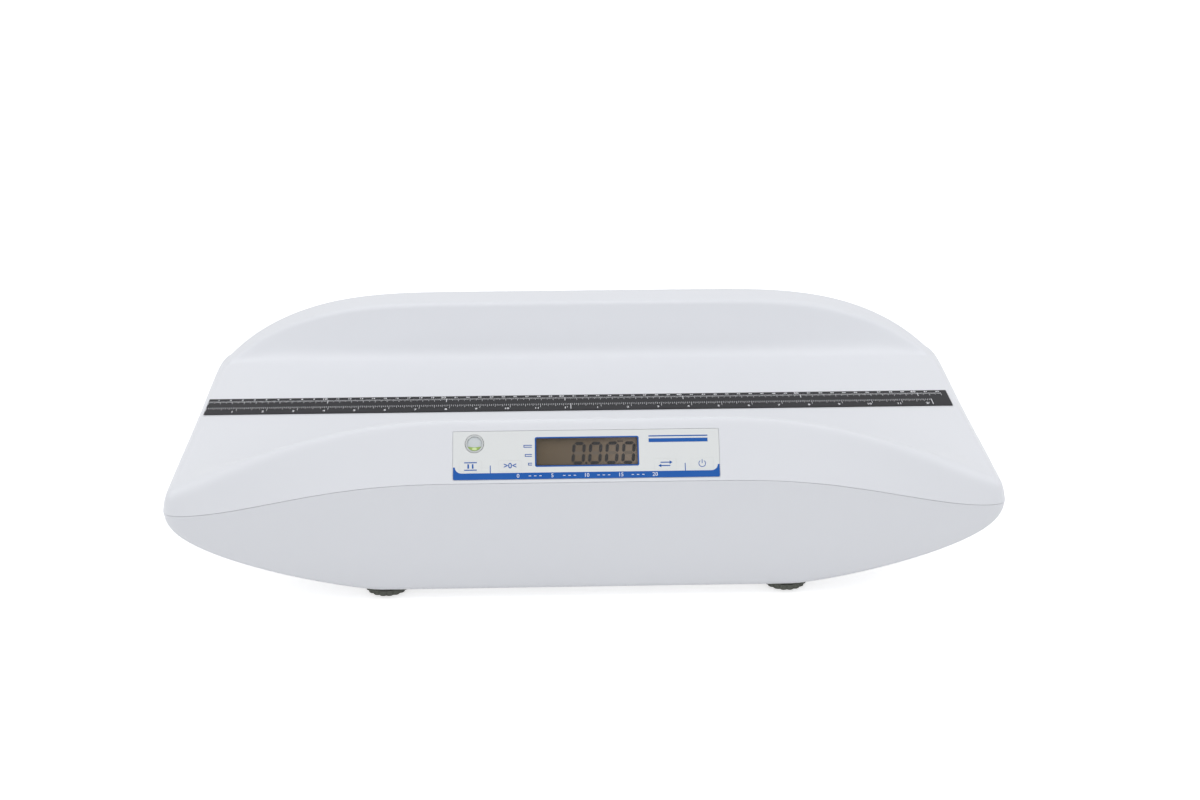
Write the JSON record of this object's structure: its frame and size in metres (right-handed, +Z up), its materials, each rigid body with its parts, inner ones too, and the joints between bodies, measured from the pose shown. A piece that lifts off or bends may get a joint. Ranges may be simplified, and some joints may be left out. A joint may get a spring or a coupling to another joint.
{
  "type": "digital baby weighing scale",
  "caption": "Cradle-shaped baby scale with a hull-like base, a sloping front panel with display, keys and bubble level, a ruler tape and levelling feet.",
  "frame": {"origin": "centre of the base outline, on the surface that the foot pads rest on", "axes": "+Z up, +X to the right along the cradle as seen from the panel, -Y out of the panel's side"},
  "size_m": [0.648, 0.322, 0.1393],
  "materials": {
    "shell_plastic": "satin white moulded plastic",
    "overlay_film": "satin printed film",
    "foot_plastic": "matte grey",
    "foot_rubber": "matte",
    "lead_jacket": "satin",
    "steel": "plated",
    "black_plastic": "matte",
    "board": "solder mask",
    "cell_sleeve": "satin sleeve",
    "clear": "clear",
    "lcd_glass": "reflective LCD",
    "tape_film": "matte film"
  },
  "bodies": {
    "housing": {"base_shell": "shell_plastic", "battery_1": "cell_sleeve", "battery_2": "cell_sleeve", "battery_3": "cell_sleeve", "battery_4": "cell_sleeve", "battery_5": "cell_sleeve", "battery_6": "cell_sleeve", "battery_box": "black_plastic", "battery_contact_left": "steel", "battery_contact_right": "steel", "battery_lead": "lead_jacket", "board_chip": "board", "board_screw_1": "steel", "board_screw_2": "steel", "board_screw_3": "steel", "board_screw_4": "steel", "jack_lead": "lead_jacket", "lcd_holder": "black_plastic", "lcd_module": "lcd_glass", "lcd_window": "clear", "level_cup": "overlay_film", "level_lens": "clear", "level_liquid": "clear", "load_cell_front_left": "steel", "load_cell_front_right": "steel", "load_cell_lead_front_left": "lead_jacket", "load_cell_lead_front_right": "lead_jacket", "load_cell_lead_rear_left": "lead_jacket", "load_cell_lead_rear_right": "lead_jacket", "load_cell_rear_left": "steel", "load_cell_rear_right": "steel", "main_board": "board", "panel_overlay": "overlay_film", "power_jack": "black_plastic", "ruler_tape": "tape_film", "shell_screw_1": "steel", "shell_screw_2": "steel", "shell_screw_3": "steel", "shell_screw_4": "steel", "switch_hold": "black_plastic", "switch_power": "black_plastic", "switch_unit": "black_plastic", "switch_zero": "black_plastic", "tray_shell": "shell_plastic"},
    "battery_door_body": {"battery_door": "shell_plastic"},
    "key_hold_body": {"key_hold": "overlay_film"},
    "key_zero_body": {"key_zero": "overlay_film"},
    "key_unit_body": {"key_unit": "overlay_film"},
    "key_power_body": {"key_power": "overlay_film"},
    "foot_pad_front_left_body": {"foot_pad_front_left": "foot_rubber"},
    "foot_wheel_front_left_body": {"foot_wheel_front_left": "foot_plastic"},
    "foot_pad_rear_left_body": {"foot_pad_rear_left": "foot_rubber"},
    "foot_wheel_rear_left_body": {"foot_wheel_rear_left": "foot_plastic"},
    "foot_pad_front_right_body": {"foot_pad_front_right": "foot_rubber"},
    "foot_wheel_front_right_body": {"foot_wheel_front_right": "foot_plastic"},
    "foot_pad_rear_right_body": {"foot_pad_rear_right": "foot_rubber"},
    "foot_wheel_rear_right_body": {"foot_wheel_rear_right": "foot_plastic"}
  },
  "joints": [
    {"name": "key_hold_press", "type": "slide", "parent": "housing", "child": "key_hold_body", "axis": [0, 0.7548, -0.656], "range_m": [0, 0.0006], "stiffness_N_per_m": 2500, "springref_m": -0.0004},
    {"name": "key_zero_press", "type": "slide", "parent": "housing", "child": "key_zero_body", "axis": [0, 0.7548, -0.656], "range_m": [0, 0.0006], "stiffness_N_per_m": 2500, "springref_m": -0.0004},
    {"name": "key_unit_press", "type": "slide", "parent": "housing", "child": "key_unit_body", "axis": [0, 0.7548, -0.656], "range_m": [0, 0.0006], "stiffness_N_per_m": 2500, "springref_m": -0.0004},
    {"name": "key_power_press", "type": "slide", "parent": "housing", "child": "key_power_body", "axis": [0, 0.7548, -0.656], "range_m": [0, 0.0006], "stiffness_N_per_m": 2500, "springref_m": -0.0004},
    {"name": "foot_lift_front_left", "type": "slide", "parent": "housing", "child": "foot_pad_front_left_body", "axis": [0, 0, -1], "range_m": [0, 0.00502]},
    {"name": "foot_turn_front_left", "type": "hinge", "parent": "foot_pad_front_left_body", "child": "foot_wheel_front_left_body", "pos_m": [-0.1568, -0.138, 0.005], "axis": [0, 0, 1], "range_deg": [0, 1440]},
    {"name": "foot_lift_rear_left", "type": "slide", "parent": "housing", "child": "foot_pad_rear_left_body", "axis": [0, 0, -1], "range_m": [0, 0.00502]},
    {"name": "foot_turn_rear_left", "type": "hinge", "parent": "foot_pad_rear_left_body", "child": "foot_wheel_rear_left_body", "pos_m": [-0.1568, 0.138, 0.005], "axis": [0, 0, 1], "range_deg": [0, 1440]},
    {"name": "foot_lift_front_right", "type": "slide", "parent": "housing", "child": "foot_pad_front_right_body", "axis": [0, 0, -1], "range_m": [0, 0.00502]},
    {"name": "foot_turn_front_right", "type": "hinge", "parent": "foot_pad_front_right_body", "child": "foot_wheel_front_right_body", "pos_m": [0.1568, -0.138, 0.005], "axis": [0, 0, 1], "range_deg": [0, 1440]},
    {"name": "foot_lift_rear_right", "type": "slide", "parent": "housing", "child": "foot_pad_rear_right_body", "axis": [0, 0, -1], "range_m": [0, 0.00502]},
    {"name": "foot_turn_rear_right", "type": "hinge", "parent": "foot_pad_rear_right_body", "child": "foot_wheel_rear_right_body", "pos_m": [0.1568, 0.138, 0.005], "axis": [0, 0, 1], "range_deg": [0, 1440]},
    {"name": "battery_door_swing", "type": "hinge", "parent": "housing", "child": "battery_door_body", "pos_m": [0, 0.0374, 0.008], "axis": [1, 0, 0], "range_deg": [0, 100]}
  ],
  "couplings": [
    {"joint": "foot_lift_front_left", "follows": "foot_turn_front_left", "m_per_rad": 0.00019894},
    {"joint": "foot_lift_rear_left", "follows": "foot_turn_rear_left", "m_per_rad": 0.00019894},
    {"joint": "foot_lift_front_right", "follows": "foot_turn_front_right", "m_per_rad": 0.00019894},
    {"joint": "foot_lift_rear_right", "follows": "foot_turn_rear_right", "m_per_rad": 0.00019894}
  ]
}
